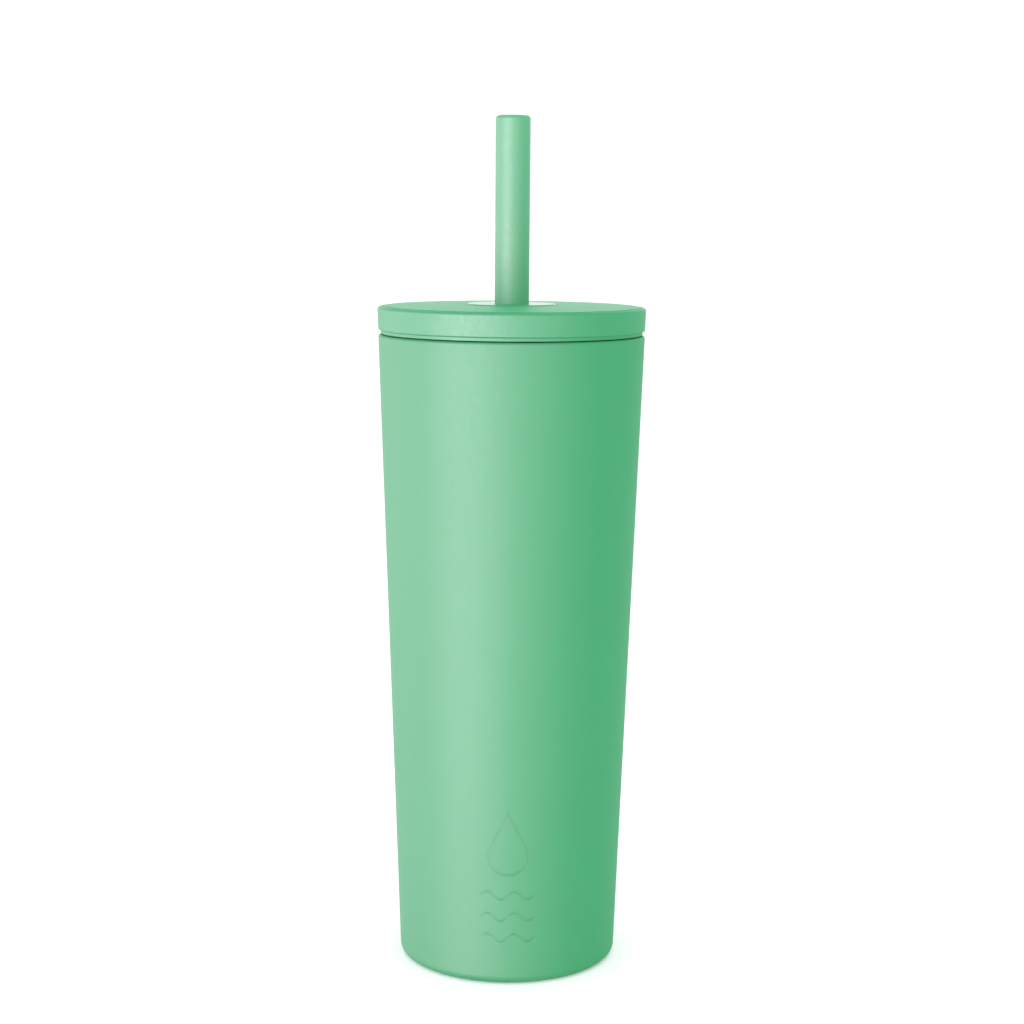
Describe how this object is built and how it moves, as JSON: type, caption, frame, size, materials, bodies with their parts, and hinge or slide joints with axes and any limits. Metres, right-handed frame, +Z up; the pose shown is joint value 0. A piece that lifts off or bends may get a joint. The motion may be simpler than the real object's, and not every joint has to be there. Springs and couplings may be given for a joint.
{
  "type": "insulated travel tumbler with straw",
  "caption": "Slim double-wall insulated tumbler with a screw-in lid, silicone seals and a straight straw through the lid.",
  "frame": {"origin": "centre of the flat foot that the cup stands on", "axes": "+Z up along the axis that the cup, lid and straw share; +X and +Y are alike, apart from where the threads start"},
  "size_m": [0.086, 0.086, 0.2737],
  "materials": {
    "powder_coat": "matte mint green powder coat with a fine grain",
    "steel": "fine circumferential brushing",
    "solder": "dull, as cast",
    "getter_pellet": "sintered, dark grey",
    "foil": "bright thin foil",
    "seal_silicone": "translucent grey, satin",
    "lid_plastic": "satin moulded plastic, mint green",
    "mint_silicone": "smooth silicone, mint green",
    "straw_plastic": "matte extruded plastic, mint green"
  },
  "bodies": {
    "cup": {"outer_shell": "powder_coat", "inner_liner": "steel", "outer_base": "steel", "base_cover": "steel", "vacuum_seal_bead": "solder", "getter_holder": "steel", "getter": "getter_pellet", "radiation_foil": "foil"},
    "seal": {"lid_seal": "seal_silicone"},
    "lid": {"lid_cover": "lid_plastic", "lid_core": "lid_plastic", "straw_grommet": "mint_silicone"},
    "straw": {"straw": "straw_plastic"}
  },
  "joints": [
    {"name": "lid_rise", "type": "slide", "parent": "cup", "child": "seal", "axis": [0, 0, 1], "range_m": [0, 0.03]},
    {"name": "lid_turn", "type": "hinge", "parent": "seal", "child": "lid", "pos_m": [0, 0, 0.2046], "axis": [0, 0, 1], "range_deg": [0, 1080]},
    {"name": "straw_slide", "type": "slide", "parent": "lid", "child": "straw", "axis": [0, 0, 1], "range_m": [0, 0.19]}
  ],
  "couplings": [
    {"joint": "lid_rise", "follows": "lid_turn", "m_per_rad": 0.0015915}
  ]
}
